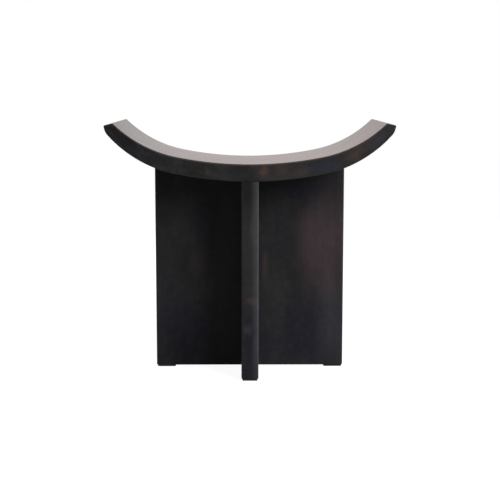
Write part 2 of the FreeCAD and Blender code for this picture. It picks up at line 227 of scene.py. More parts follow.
class StoolStage(bpy.types.PropertyGroup):
    """Camera and light of the stage"""

    distance: length("Camera distance", "From the stool's middle, along the floor", 2.155)
    height: length("Camera height", "Above the floor", 0.517)
    tilt: FloatProperty(name="Tilt", description="How far the camera looks down", default=0.1394,
                        subtype="ANGLE")
    round_turn: FloatProperty(name="Turn round", description="Camera's turn about the stool",
                              default=-0.006, subtype="ANGLE")
    heading: FloatProperty(name="Heading", description="Camera's turn about its own place",
                           default=-0.0004, subtype="ANGLE")
    focal_pixels: FloatProperty(name="Focal length", description="In pixels of the square picture",
                                default=1187, subtype="PIXEL")
    fill: FloatProperty(name="Fill", description="Strength of the light from all round", default=0.25)
    key: FloatProperty(name="Key", description="Power of the lamp on the right", default=45,
                       subtype="POWER")
    key_side: length("Key side", "Side of the soft box on the right", 1.1)
    key_place: point("Key place", "Middle of the soft box on the right", (1.25, -1.49, 1.28))
    back: FloatProperty(name="Back", description="Power of the lamp behind", default=20,
                        subtype="POWER")
    back_side: length("Back side", "Side of the soft box behind", 0.8)
    back_place: point("Back place", "Middle of the soft box behind", (-0.9, 1.8, 0.9))


def add_node(tree, kind, settings=None, inputs=None):
    """Add a node with its settings. An input, by name or number, is a value or the socket that feeds it."""
    node = tree.nodes.new(kind)
    for name, value in (settings or {}).items():
        setattr(node, name, value)
    for key, value in (inputs or {}).items():
        if isinstance(value, bpy.types.NodeSocket):
            tree.links.new(value, node.inputs[key])
        else:
            node.inputs[key].default_value = value
    return node


def new_shape_tree(name, inputs):
    """A geometry tree with inputs, which are named by kind, and those inputs' sockets by name."""
    tree = bpy.data.node_groups.new(name, "GeometryNodeTree")
    for kind, names in inputs.items():
        for input_name in names:
            tree.interface.new_socket(name=input_name, in_out="INPUT", socket_type=kind)
    tree.interface.new_socket(name="Geometry", in_out="OUTPUT", socket_type="NodeSocketGeometry")
    given = tree.nodes.new("NodeGroupInput").outputs
    return tree, {input_name: given[input_name] for names in inputs.values() for input_name in names}


def end_shape_tree(tree, geometry, material):
    """Close a tree with plain geometry that bears its material."""
    whole = add_node(tree, "GeometryNodeRealizeInstances", inputs={"Geometry": geometry})
    dressed = add_node(tree, "GeometryNodeSetMaterial",
                       inputs={"Geometry": whole.outputs[0], "Material": material})
    add_node(tree, "NodeGroupOutput", inputs={"Geometry": dressed.outputs[0]})


def shaped(name, tree, sizes, modifiers):
    """A plain mesh object from a geometry tree with these sizes, finished by further modifiers."""
    piece = bpy.data.objects.new(name, bpy.data.meshes.new(name))
    shape = piece.modifiers.new("Shape", "NODES")
    shape.node_group = tree
    for item in tree.interface.items_tree:
        if item.in_out == "INPUT":
            shape[item.identifier] = sizes[item.name]
    for kind, settings in modifiers:
        modifier = piece.modifiers.new(kind.title(), kind)
        for key, value in settings.items():
            setattr(modifier, key, value)
    bpy.context.scene.collection.objects.link(piece)
    bpy.context.view_layer.update()
    evaluated = piece.evaluated_get(bpy.context.evaluated_depsgraph_get())
    mesh = bpy.data.meshes.new_from_object(evaluated)
    piece.modifiers.clear()
    piece.data = mesh
    mesh.name = name
    if not mesh.polygons:
        raise RuntimeError(f"{name} came out empty")
    return piece


def stand_for(piece, node):
    """Let a piece take a node's place on the stool."""
    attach(piece, BODY)
    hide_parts(node)


def dress(node, material):
    """Give a node that stays its material."""
    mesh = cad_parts[node].data
    mesh.materials.clear()
    mesh.materials.append(material)


def half_width():
    """Half the seat's width, as the solids have it."""
    low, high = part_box("seat_stave_centre")
    return (high.x - low.x) / 2


def end_arc(seat):
    """Radius and centre of an end arc, which leaves the middle arc by its tangent and ends at the tip."""
    half_span = half_width() - seat.tip_land - seat.end_run
    turn = math.asin(half_span / seat.middle_radius)
    up = seat.dip - seat.middle_radius * (1 - math.cos(turn))
    bend = math.atan2(up, seat.end_run) - turn
    radius = math.hypot(seat.end_run, up) / (2 * math.sin(bend))
    reach = seat.middle_radius - radius
    return radius, reach * math.sin(turn), seat.middle_radius - reach * math.cos(turn)


def tip_slope(seat):
    """How steeply a tip's land falls from the hollow's rim to the outer edge above the lower curve."""
    radius, across, up = end_arc(seat)
    rise = up - math.sqrt(radius ** 2 - (half_width() - across) ** 2)
    face_top = rise - seat.thickness + seat.tip_face
    return (seat.dip - face_top) / seat.tip_land


def add_arc_rise(tree, across, radius, centre_across, centre_up):
    """Nodes that give an arc's height at a distance across."""
    offset = add_node(tree, "ShaderNodeMath", {"operation": "SUBTRACT"}, {0: across, 1: centre_across})
    shorter = add_node(tree, "ShaderNodeMath", {"operation": "SUBTRACT"}, {0: radius, 1: offset.outputs[0]})
    longer = add_node(tree, "ShaderNodeMath", {"operation": "ADD"}, {0: radius, 1: offset.outputs[0]})
    square = add_node(tree, "ShaderNodeMath", {"operation": "MULTIPLY"},
                      {0: shorter.outputs[0], 1: longer.outputs[0]})
    drop = add_node(tree, "ShaderNodeMath", {"operation": "SQRT"}, {0: square.outputs[0]})
    rise = add_node(tree, "ShaderNodeMath", {"operation": "SUBTRACT"}, {0: centre_up, 1: drop.outputs[0]})
    return rise.outputs[0]


def make_stave_tree():
    """A plank sheared along the seat's curve, as a saw leaves it, with its two tips planed off."""
    tree, size = new_shape_tree("seat_stave", {
        "NodeSocketVector": ("Blank", "Place"),
        "NodeSocketInt": ("Columns",),
        "NodeSocketFloat": (
            "Half Width", "End Lean", "Tip", "Tip Height", "Tip Slope",
            "Half Span", "Middle Radius", "End Radius", "End Across", "End Up",
            "Outer Side", "Arris", "Inner Tip", "Outer Tip", "Lower Tip", "Number",
        ),
        "NodeSocketMaterial": ("Wood",),
    })
    blank = add_node(tree, "GeometryNodeMeshCube",
                     inputs={"Size": size["Blank"], "Vertices X": size["Columns"]})
    place = add_node(tree, "GeometryNodeInputPosition")
    along = add_node(tree, "ShaderNodeSeparateXYZ", inputs={0: place.outputs[0]})
    extent = add_node(tree, "ShaderNodeSeparateXYZ", inputs={0: size["Blank"]})
    across = add_node(tree, "ShaderNodeMath", {"operation": "ABSOLUTE"}, {0: along.outputs["X"]})
    side = add_node(tree, "ShaderNodeMath", {"operation": "SIGN"}, {0: along.outputs["X"]})
    halves = [add_node(tree, "ShaderNodeMath", {"operation": "MULTIPLY"}, {0: whole, 1: 0.5}).outputs[0]
              for whole in extent.outputs]

    # The plank's own coordinates stay on it, so that the grain follows the curve.
    own = add_node(tree, "ShaderNodeVectorMath", {"operation": "MULTIPLY_ADD"},
                   {0: size["Place"], 1: (0, 1, 0), 2: place.outputs[0]})
    grained = add_node(tree, "GeometryNodeStoreNamedAttribute",
                       {"data_type": "FLOAT_VECTOR", "domain": "POINT"},
                       {"Geometry": blank.outputs["Mesh"], "Name": "plank", "Value": own.outputs[0]})
    numbered = add_node(tree, "GeometryNodeStoreNamedAttribute", {"data_type": "FLOAT", "domain": "POINT"},
                        {"Geometry": grained.outputs[0], "Name": "stave", "Value": size["Number"]})

    # What lies at an end, at a tip's rim, on the outer face, on the top or on the foot of the plank. An edge
    # from face to face has its middle at no depth.
    turned = add_node(tree, "ShaderNodeMath", {"operation": "MULTIPLY"},
                      {0: along.outputs["Y"], 1: size["Outer Side"]})
    below = add_node(tree, "ShaderNodeMath", {"operation": "MULTIPLY"}, {0: along.outputs["Z"], 1: -1.0})
    at = {}
    for name, distance, limit in (
        ("end", across.outputs[0], halves[0]), ("tip", across.outputs[0], size["Tip"]),
        ("face", turned.outputs[0], halves[1]), ("face to face", along.outputs["Y"], 0.0),
        ("top", along.outputs["Z"], halves[2]), ("foot", below.outputs[0], halves[2]),
    ):
        test = add_node(tree, "FunctionNodeCompare", {"data_type": "FLOAT", "operation": "EQUAL"},
                        {0: distance, 1: limit, "Epsilon": NEAR})
        at[name] = test.outputs[0]

    # Which edges of the plank are eased, each by its own share of the widest easing.
    weight = 0.0
    for easing, *places in (
        ("Arris", "face", "top"), ("Arris", "face", "foot"), ("Arris", "face", "end"),
        ("Inner Tip", "face to face", "tip", "top"), ("Outer Tip", "face to face", "end", "top"),
        ("Lower Tip", "face to face", "end", "foot"),
    ):
        share = size[easing]
        for name in places:
            share = add_node(tree, "ShaderNodeMath", {"operation": "MULTIPLY"},
                             {0: share, 1: at[name]}).outputs[0]
        weight = add_node(tree, "ShaderNodeMath", {"operation": "ADD"}, {0: weight, 1: share}).outputs[0]
    eased = add_node(tree, "GeometryNodeStoreNamedAttribute", {"data_type": "FLOAT", "domain": "EDGE"},
                     {"Geometry": numbered.outputs[0], "Name": "bevel_weight_edge", "Value": weight})

    # The outermost columns go to the end faces, which lean in at the foot. Every column then rises by the
    # curve, up to the land.
    lean = add_node(tree, "ShaderNodeMath", {"operation": "MULTIPLY"},
                    {0: size["End Lean"], 1: at["foot"]})
    end_reach = add_node(tree, "ShaderNodeMath", {"operation": "SUBTRACT"},
                         {0: size["Half Width"], 1: lean.outputs[0]})
    reach = add_node(tree, "GeometryNodeSwitch", {"input_type": "FLOAT"},
                     {"Switch": at["end"], "False": across.outputs[0], "True": end_reach.outputs[0]})
    middle = add_arc_rise(tree, reach.outputs[0], size["Middle Radius"], 0.0, size["Middle Radius"])
    end = add_arc_rise(tree, reach.outputs[0], size["End Radius"], size["End Across"], size["End Up"])
    is_end = add_node(tree, "FunctionNodeCompare", {"data_type": "FLOAT", "operation": "GREATER_THAN"},
                      {0: reach.outputs[0], 1: size["Half Span"]})
    rise = add_node(tree, "GeometryNodeSwitch", {"input_type": "FLOAT"},
                    {"Switch": is_end.outputs[0], "False": middle, "True": end})
    upper = add_node(tree, "ShaderNodeMath", {"operation": "SUBTRACT"},
                     {0: along.outputs["Z"], 1: halves[2]})
    sheared = add_node(tree, "ShaderNodeMath", {"operation": "ADD"},
                       {0: upper.outputs[0], 1: rise.outputs[0]})
    past = add_node(tree, "ShaderNodeMath", {"operation": "SUBTRACT"},
                    {0: reach.outputs[0], 1: size["Tip"]})
    fall = add_node(tree, "ShaderNodeMath", {"operation": "MULTIPLY"},
                    {0: past.outputs[0], 1: size["Tip Slope"]})
    land = add_node(tree, "ShaderNodeMath", {"operation": "SUBTRACT"},
                    {0: size["Tip Height"], 1: fall.outputs[0]})
    height = add_node(tree, "ShaderNodeMath", {"operation": "MINIMUM"},
                      {0: sheared.outputs[0], 1: land.outputs[0]})
    signed = add_node(tree, "ShaderNodeMath", {"operation": "MULTIPLY"},
                      {0: reach.outputs[0], 1: side.outputs[0]})
    shape = add_node(tree, "ShaderNodeCombineXYZ",
                     inputs={"X": signed.outputs[0], "Y": along.outputs["Y"], "Z": height.outputs[0]})
    there = add_node(tree, "ShaderNodeVectorMath", {"operation": "ADD"},
                     {0: shape.outputs[0], 1: size["Place"]})
    curved = add_node(tree, "GeometryNodeSetPosition",
                      inputs={"Geometry": eased.outputs[0], "Position": there.outputs[0]})
    smooth = add_node(tree, "GeometryNodeSetShadeSmooth", inputs={"Geometry": curved.outputs[0]})

    # A square edge that isn't eased stays sharp, so that the glued faces meet without a crease.
    bend = add_node(tree, "GeometryNodeInputMeshEdgeAngle")
    square = add_node(tree, "FunctionNodeCompare", {"data_type": "FLOAT", "operation": "GREATER_THAN"},
                      {0: bend.outputs["Unsigned Angle"], 1: SQUARE_EDGE})
    crisp = add_node(tree, "GeometryNodeSetShadeSmooth", {"domain": "EDGE"},
                     {"Geometry": smooth.outputs[0], "Selection": square.outputs[0], "Shade Smooth": False})
    end_shape_tree(tree, crisp.outputs[0], size["Wood"])
    return tree


def make_dowel_room_tree():
    """All the dowels, grown by the gap round them, to cut their blind mortises from the staves."""
    panels = ("Wide Panel", "Cross Panel")
    tree, size = new_shape_tree("dowel_room", {
        "NodeSocketObject": panels,
        "NodeSocketFloat": ("Gap",),
        "NodeSocketMaterial": ("Wood",),
    })
    rods = add_node(tree, "GeometryNodeJoinGeometry")
    for panel in panels:
        found = add_node(tree, "GeometryNodeObjectInfo", inputs={"Object": size[panel]})
        tree.links.new(found.outputs["Geometry"], rods.inputs["Geometry"])
    closed = add_node(tree, "GeometryNodeMergeByDistance",
                      inputs={"Geometry": rods.outputs[0], "Distance": NEAR})
    outwards = add_node(tree, "GeometryNodeInputNormal")
    gap = add_node(tree, "ShaderNodeVectorMath", {"operation": "SCALE"},
                   {0: outwards.outputs[0], "Scale": size["Gap"]})
    grown = add_node(tree, "GeometryNodeSetPosition",
                     inputs={"Geometry": closed.outputs[0], "Offset": gap.outputs[0]})
    end_shape_tree(tree, grown.outputs[0], size["Wood"])
    return tree


def make_pad_tree():
    """A plate with round corners, cut from sheet."""
    tree, size = new_shape_tree("floor_pad", {
        "NodeSocketFloat": ("Length", "Width", "Thickness", "Corner"),
        "NodeSocketVector": ("Place",),
        "NodeSocketMaterial": ("Rubber",),
    })
    outline = add_node(tree, "GeometryNodeCurvePrimitiveQuadrilateral",
                       inputs={"Width": size["Length"], "Height": size["Width"]})
    rounded = add_node(tree, "GeometryNodeFilletCurve", {"mode": "POLY"},
                       {"Curve": outline.outputs[0], "Radius": size["Corner"], "Count": 8})
    top = add_node(tree, "ShaderNodeCombineXYZ", inputs={"Z": size["Thickness"]})
    path = add_node(tree, "GeometryNodeCurvePrimitiveLine",
                    inputs={"Start": (0, 0, 0), "End": top.outputs[0]})
    plate = add_node(tree, "GeometryNodeCurveToMesh", inputs={
        "Curve": path.outputs[0], "Profile Curve": rounded.outputs[0], "Fill Caps": True})
    there = add_node(tree, "GeometryNodeTransform",
                     inputs={"Geometry": plate.outputs[0], "Translation": size["Place"]})
    end_shape_tree(tree, there.outputs[0], size["Rubber"])
    return tree


def new_surface(name):
    """A material with an empty tree, a principled shader and its output."""
    material = bpy.data.materials.new(name)
    material.use_nodes = True
    tree = material.node_tree
    tree.nodes.clear()
    shader = add_node(tree, "ShaderNodeBsdfPrincipled")
    add_node(tree, "ShaderNodeOutputMaterial", inputs={"Surface": shader.outputs[0]})
    return material, tree, shader


def on_face(spots, y):
    """Spots on a front face at this depth, each as middle, reach and strength."""
    return [((spot.across * MM, y, spot.up * MM), (spot.wide * MM, SPOT_DEPTH, spot.tall * MM),
             spot.strength) for spot in spots]


def add_spots(tree, where, noise, share, spots):
    """Nodes that raise a share to a spot's strength near the spot's middle, with a ragged rim."""
    for middle, reach, strength in spots:
        away = add_node(tree, "ShaderNodeVectorMath", {"operation": "SUBTRACT"}, {0: where, 1: middle})
        scaled = add_node(tree, "ShaderNodeVectorMath", {"operation": "DIVIDE"},
                          {0: away.outputs[0], 1: reach})
        far = add_node(tree, "ShaderNodeVectorMath", {"operation": "LENGTH"}, {0: scaled.outputs[0]})
        ragged = add_node(tree, "ShaderNodeMath", {"operation": "ADD"},
                          {0: far.outputs["Value"], 1: noise})
        spot = add_node(tree, "ShaderNodeMapRange", {"interpolation_type": "SMOOTHSTEP"}, {
            "Value": ragged.outputs[0], "From Min": SPOT_END, "From Max": SPOT_FULL, "To Max": strength})
        most = add_node(tree, "ShaderNodeMath", {"operation": "MAXIMUM"}, {0: share, 1: spot.outputs[0]})
        share = most.outputs[0]
    return share


def add_figure(tree, where, lot, wood):
    """Nodes for the wood's figure, from its fine pores to its wide patches."""
    scaled = {}
    for part in ("streak", "pore", "patch"):
        scaled[part] = add_node(tree, "ShaderNodeMapping", inputs={
            "Vector": where, "Scale": [1 / side for side in getattr(wood, part)]}).outputs[0]
    streaks = add_node(tree, "ShaderNodeTexNoise", {"noise_dimensions": "4D"}, {
        "Vector": scaled["streak"], "W": lot, "Scale": 1.0, "Detail": 5.0, "Roughness": 0.6})
    pores = add_node(tree, "ShaderNodeTexNoise", {"noise_dimensions": "4D"}, {
        "Vector": scaled["pore"], "W": lot, "Scale": 1.0, "Detail": 1.0})
    warm = add_node(tree, "ShaderNodeTexNoise", inputs={
        "Vector": scaled["patch"], "Scale": 1.0, "Detail": 3.0, "Roughness": 0.55})
    thick = add_node(tree, "ShaderNodeTexNoise", {"noise_dimensions": "4D"}, {
        "Vector": scaled["patch"], "W": THICK_SEED, "Scale": 1.0, "Detail": 2.0, "Roughness": 0.5})
    thin = add_node(tree, "ShaderNodeTexNoise", {"noise_dimensions": "4D"}, {
        "Vector": scaled["patch"], "W": THIN_SEED, "Scale": 1.6, "Detail": 4.0, "Roughness": 0.6})
    mottle = add_node(tree, "ShaderNodeTexNoise", inputs={
        "Vector": where, "Scale": 1 / MOTTLE, "Detail": 3.0, "Roughness": 0.65})
    frayed = add_node(tree, "ShaderNodeMapRange", inputs={
        "Value": mottle.outputs["Fac"], "To Min": -wood.fray, "To Max": wood.fray})
    rims = add_node(tree, "ShaderNodeMath", {"operation": "ADD"},
                    {0: thin.outputs["Fac"], 1: frayed.outputs[0]})

    # Growth rings are uneven bands by the distance from their middle, a little bent, and other in each lot.
    from_heart = add_node(tree, "ShaderNodeVectorMath", {"operation": "MULTIPLY_ADD"}, {
        0: where, 1: wood.axes, 2: wood.heart})
    far = add_node(tree, "ShaderNodeVectorMath", {"operation": "LENGTH"}, {0: from_heart.outputs[0]})
    bent = add_node(tree, "ShaderNodeMath", {"operation": "MULTIPLY_ADD"}, {
        0: warm.outputs["Fac"], 1: RING_BEND, 2: far.outputs["Value"]})
    moved = add_node(tree, "ShaderNodeMath", {"operation": "ADD"}, {0: bent.outputs[0], 1: lot})
    rings = add_node(tree, "ShaderNodeTexNoise", {"noise_dimensions": "1D"}, {
        "W": moved.outputs[0], "Scale": 1 / RING, "Detail": 2.0, "Roughness": 0.6})
    grain = add_node(tree, "ShaderNodeMix", inputs={
        "Factor": RING_SHARE, VALUE_A: streaks.outputs["Fac"], VALUE_B: rings.outputs["Fac"]})
    return Figure(
        streaks=streaks.outputs["Fac"], pores=pores.outputs["Fac"], warm=warm.outputs["Fac"],
        thick=thick.outputs["Fac"], thin=thin.outputs["Fac"], mottle=mottle.outputs["Fac"],
        rims=rims.outputs[0], grain=grain.outputs[0])


def add_stain(tree, where, figure, finish, wood):
    """Nodes for the stain: black to brown black, then cool where it lies thick, darker where it is deepest
    and lighter where it is rubbed. The deep black at the wide panel's lower left is painted shade."""
    browner = add_node(tree, "ShaderNodeMapRange", {"interpolation_type": "SMOOTHSTEP"}, {
        "Value": figure.warm, "From Min": 0.35, "From Max": 0.65})
    cooler = add_node(tree, "ShaderNodeMapRange", {"interpolation_type": "SMOOTHSTEP"}, {
        "Value": figure.thick, "From Min": 0.5, "From Max": 0.75, "To Max": 0.7})
    rubbed = add_node(tree, "ShaderNodeMapRange", {"interpolation_type": "SMOOTHSTEP"}, {
        "Value": figure.thin, "From Min": 0.6, "From Max": 0.8, "To Max": 0.4})
    ground = add_node(tree, "ShaderNodeMix", {"data_type": "RGBA"}, {
        "Factor": browner.outputs[0], COLOUR_A: (*finish.black, 1), COLOUR_B: (*finish.brown, 1)})
    stained = ground.outputs[MIXED_COLOUR]
    for share, spots, hue in (
        (cooler.outputs[0], wood.cool, wood.cool_hue),
        (0.0, wood.deep, finish.deep),
        (rubbed.outputs[0], wood.rubbed, wood.rubbed_hue),
    ):
        changed = add_node(tree, "ShaderNodeMix", {"data_type": "RGBA"}, {
            "Factor": add_spots(tree, where, figure.rims, share, spots),
            COLOUR_A: stained, COLOUR_B: (*hue, 1)})
        stained = changed.outputs[MIXED_COLOUR]
    return stained


def add_wear(tree, where, figure, wood, stained):
    """Nodes for wear in spots and along the arrises, there by the distance from their lines, broken up by
    the streaks. On the base some of the spots are painted light, not wear: a highlight down the strip's
    right side and a lighter lower right of the wide panel."""
    place = add_node(tree, "ShaderNodeSeparateXYZ", inputs={0: where})
    out = [add_node(tree, "ShaderNodeMath", {"operation": "ABSOLUTE"}, {0: place.outputs[axis]}).outputs[0]
           for axis in ("X", "Y")]
    aside = add_node(tree, "ShaderNodeCombineXYZ",
                     inputs={"X": out[0], "Y": out[1], "Z": place.outputs["Z"]})
    across = add_node(tree, "ShaderNodeVectorMath", {"operation": "MULTIPLY"},
                      {0: aside.outputs[0], 1: wood.axes})
    share = add_spots(tree, where, figure.rims, 0.0, wood.worn)
    for arris, strength in wood.arrises:
        away = add_node(tree, "ShaderNodeVectorMath", {"operation": "DISTANCE"},
                        {0: across.outputs[0], 1: arris})
        broken = add_node(tree, "ShaderNodeMath", {"operation": "MULTIPLY_ADD"}, {
            0: figure.streaks, 1: WEAR_BREAK, 2: away.outputs["Value"]})
        wear = add_node(tree, "ShaderNodeMapRange", {"interpolation_type": "SMOOTHSTEP"}, {
            "Value": broken.outputs[0], "From Min": WEAR_END, "From Max": WEAR_FULL, "To Max": strength})
        most = add_node(tree, "ShaderNodeMath", {"operation": "MAXIMUM"}, {0: share, 1: wear.outputs[0]})
        share = most.outputs[0]
    worn = add_node(tree, "ShaderNodeMix", {"data_type": "RGBA"}, {
        "Factor": share, COLOUR_A: stained, COLOUR_B: (*wood.worn_hue, 1)})
    return worn.outputs[MIXED_COLOUR]


def stain_wood(tree, shader, where, lot, finish, wood):
    """Solid wood, planed, stained black and waxed: a dark satin ground, warmer or cooler where the stain
    took less or more, rubbed in soft patches and worn along the arrises, with faint rings, streaks and
    pores. Where gives the coordinates, and lot sets one plank's grain off from the next."""
    figure = add_figure(tree, where, lot, wood)
    stained = add_stain(tree, where, figure, finish, wood)
    worn = add_wear(tree, where, figure, wood, stained)

    # The grain and a mottle shade the colour, and pores, drawn about three times too wide, darken it.
    shade = add_node(tree, "ShaderNodeMapRange", inputs={
        "Value": figure.grain, "From Min": 0.25, "From Max": 0.75, "To Min": 0.88, "To Max": 1.12})
    pitted = add_node(tree, "ShaderNodeMapRange", {"interpolation_type": "SMOOTHSTEP"}, {
        "Value": figure.pores, "From Min": 0.62, "From Max": 0.72, "To Min": 1.0, "To Max": 0.8})
    depth = add_node(tree, "ShaderNodeMath", {"operation": "MULTIPLY"},
                     {0: shade.outputs[0], 1: pitted.outputs[0]})
    blotchy = add_node(tree, "ShaderNodeMapRange", inputs={
        "Value": figure.mottle, "From Min": 0.3, "From Max": 0.7, "To Min": 0.88, "To Max": 1.12})
    darkness = add_node(tree, "ShaderNodeMath", {"operation": "MULTIPLY"},
                        {0: depth.outputs[0], 1: blotchy.outputs[0]})
    grained = add_node(tree, "ShaderNodeVectorMath", {"operation": "SCALE"},
                       {0: worn, "Scale": darkness.outputs[0]})
    # The wax is a little duller along the grain's pale lines and in patches.
    smooth = add_node(tree, "ShaderNodeMapRange", inputs={
        "Value": figure.grain, "From Min": 0.25, "From Max": 0.75, "To Min": 0.13, "To Max": 0.17})
    rough = add_node(tree, "ShaderNodeMath", {"operation": "MULTIPLY_ADD"},
                     {0: figure.thin, 1: 0.06, 2: smooth.outputs[0]})
    relief = add_node(tree, "ShaderNodeBump", inputs={
        "Strength": 0.1, "Distance": RELIEF, "Height": depth.outputs[0]})
    tree.links.new(grained.outputs[0], shader.inputs["Base Color"])
    tree.links.new(rough.outputs[0], shader.inputs["Roughness"])
    tree.links.new(relief.outputs[0], shader.inputs["Normal"])
    # Stained wood with a thin wax hardly shines face on, and only mirrors at a low angle.
    shader.inputs["IOR"].default_value = 1.45
    shader.inputs["Specular IOR Level"].default_value = 0.04
    shader.inputs["Sheen Weight"].default_value = 0.13
    shader.inputs["Sheen Roughness"].default_value = 0.3
    shader.inputs["Sheen Tint"].default_value = (*finish.wax, 1)


def make_seat_wood(finish, seat):
    """The seat's lot, with its grain along the staves, by the coordinates that each plank bears."""
    material, tree, shader = new_surface("ebonised_wood_seat")
    plank = add_node(tree, "ShaderNodeAttribute", {"attribute_name": "plank"})
    number = add_node(tree, "ShaderNodeAttribute", {"attribute_name": "stave"})
    front, rear = CAD_BOX[0].y, CAD_BOX[1].y
    stain_wood(tree, shader, plank.outputs["Vector"], number.outputs["Fac"], finish, Wood(
        heart=(0, 45 * MM, 70 * MM), streak=(180 * MM, 5 * MM, 5 * MM),
        pore=(12 * MM, 0.9 * MM, 0.9 * MM), patch=(70 * MM, 30 * MM, 30 * MM), axes=(0, 1, 1),
        rubbed=on_face(SEAT_RUBBED, front), rubbed_hue=finish.seat_rubbed,
        cool=on_face(SEAT_COOL, front), cool_hue=finish.seat_cool, deep=on_face(SEAT_DEEP, front),
        worn=on_face(SEAT_WORN, front), worn_hue=finish.seat_worn, fray=1.0,
        arrises=[((0, rear, seat.thickness / 2), 0.5)]))
    return material


def make_base_wood(finish):
    """The base's lot, with its grain upright in both panels."""
    material, tree, shader = new_surface("ebonised_wood_base")
    where = add_node(tree, "ShaderNodeTexCoord")
    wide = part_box("wide_panel_right_board")[1]
    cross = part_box("cross_panel_rear_board")[1]
    stain_wood(tree, shader, where.outputs["Object"], 0.0, finish, Wood(
        heart=(60 * MM, 90 * MM, 0), streak=(5 * MM, 5 * MM, 180 * MM),
        pore=(0.9 * MM, 0.9 * MM, 12 * MM), patch=(60 * MM, 60 * MM, 140 * MM), axes=(1, 1, 0),
        # The panel's deep spot is painted shade, and its worn spot and the strip's first two are painted
        # light.
        rubbed=on_face(PANEL_RUBBED, -wide.y) + on_face(STRIP_RUBBED, -cross.y),
        rubbed_hue=finish.base_rubbed,
        cool=on_face(PANEL_COOL, -wide.y) + on_face(STRIP_COOL, -cross.y), cool_hue=finish.base_cool,
        deep=on_face(PANEL_PAINTED_SHADE, -wide.y) + on_face(STRIP_DEEP, -cross.y),
        worn=on_face(PANEL_PAINTED_LIGHT, -wide.y) + on_face(STRIP_HIGHLIGHT_AND_WEAR, -cross.y),
        worn_hue=finish.base_wear_and_highlight, fray=0.2,
        arrises=[((wide.x, wide.y, 0), 0.2), ((cross.x, cross.y, 0), 0.2)]))
    return material


def make_pad_rubber(finish):
    """Rubber sheet, die-cut: dull black with a fine even grain."""
    material, tree, shader = new_surface("die_cut_rubber")
    where = add_node(tree, "ShaderNodeTexCoord")
    grain = add_node(tree, "ShaderNodeTexNoise", inputs={
        "Vector": where.outputs["Object"], "Scale": 1 / RUBBER_GRAIN, "Detail": 2.0})
    tone = add_node(tree, "ShaderNodeMapRange", inputs={
        "Value": grain.outputs["Fac"], "To Min": 0.8, "To Max": 1.2})
    ground = add_node(tree, "ShaderNodeVectorMath", {"operation": "SCALE"}, {
        0: tuple(finish.rubber), "Scale": tone.outputs[0]})
    relief = add_node(tree, "ShaderNodeBump", inputs={
        "Strength": 0.3, "Distance": RELIEF, "Height": grain.outputs["Fac"]})
    tree.links.new(ground.outputs[0], shader.inputs["Base Color"])
    tree.links.new(relief.outputs[0], shader.inputs["Normal"])
    shader.inputs["Roughness"].default_value = 0.8
    return material


def make_dowel_beech(finish):
    """Beech rod, turned and left bare: pale brown with short darker flecks along the rod."""
    material, tree, shader = new_surface("turned_beech")
    where = add_node(tree, "ShaderNodeTexCoord")
    flecks = add_node(tree, "ShaderNodeMapping", inputs={
        "Vector": where.outputs["Object"], "Scale": [1 / side for side in BEECH_FLECK]})
    grain = add_node(tree, "ShaderNodeTexNoise", inputs={
        "Vector": flecks.outputs[0], "Scale": 1.0, "Detail": 3.0})
    tone = add_node(tree, "ShaderNodeMapRange", inputs={
        "Value": grain.outputs["Fac"], "From Min": 0.3, "From Max": 0.7, "To Min": 1.1, "To Max": 0.75})
    ground = add_node(tree, "ShaderNodeVectorMath", {"operation": "SCALE"}, {
        0: tuple(finish.beech), "Scale": tone.outputs[0]})
    tree.links.new(ground.outputs[0], shader.inputs["Base Color"])
    shader.inputs["Roughness"].default_value = 0.6
    return material


class STOOL_OT_seat(bpy.types.Operator):
    """Make the seat's five staves along the three-arc curve"""

    bl_idname = "stool.seat"
    bl_label = "Seat staves"

    def execute(self, context):
        seat = context.scene.stool_seat
        wood = make_seat_wood(context.scene.stool_finish, seat)
        tree = make_stave_tree()
        radius, across, up = end_arc(seat)
        tip = half_width() - seat.tip_land
        widest = max(seat.inner_ease, seat.outer_ease, seat.lower_ease, seat.arris_ease)
        # All columns but the two outermost share out the width between the tips' rims.
        spacing = 2 * tip / (seat.columns - 3)
        wide_dowels, cross_dowels = (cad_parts[dowels] for dowels in DOWELS)
        room = shaped("dowel_room", make_dowel_room_tree(), {
            "Wide Panel": wide_dowels, "Cross Panel": cross_dowels, "Gap": seat.dowel_room, "Wood": wood,
        }, ())
        for row, name in enumerate(STAVES):
            node = f"seat_stave_{name}"
            low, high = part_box(node)
            is_front = abs(low.y - CAD_BOX[0].y) < NEAR
            is_rear = abs(high.y - CAD_BOX[1].y) < NEAR
            sizes = {
                "Blank": (2 * (tip + spacing), high.y - low.y, seat.thickness),
                "Columns": seat.columns,
                "Place": (0.0, (low.y + high.y) / 2, low.z + seat.thickness),
                "Half Width": half_width(), "End Lean": seat.end_lean,
                "Tip": tip, "Tip Height": seat.dip, "Tip Slope": tip_slope(seat),
                "Half Span": tip - seat.end_run, "Middle Radius": seat.middle_radius,
                "End Radius": radius, "End Across": across, "End Up": up,
                "Outer Side": float(is_rear) - float(is_front),
                "Arris": seat.arris_ease / widest, "Inner Tip": seat.inner_ease / widest,
                "Outer Tip": seat.outer_ease / widest, "Lower Tip": seat.lower_ease / widest,
                "Number": float(row), "Wood": wood,
            }
            stave = shaped(f"stave_{name}", tree, sizes, (
                ("BEVEL", {"limit_method": "WEIGHT", "width": widest, "segments": 4}),
                ("BOOLEAN", {"object": room, "solver": "EXACT"}),
                ("WEIGHTED_NORMAL", {"keep_sharp": True}),
            ))
            stand_for(stave, node)
        bpy.data.objects.remove(room)
        return {"FINISHED"}


class STOOL_OT_base(bpy.types.Operator):
    """Finish the boards of the two crossed panels"""

    bl_idname = "stool.base"
    bl_label = "Base panels"

    def execute(self, context):
        wood = make_base_wood(context.scene.stool_finish)
        for board in BOARDS:
            dress(board, wood)
        return {"FINISHED"}


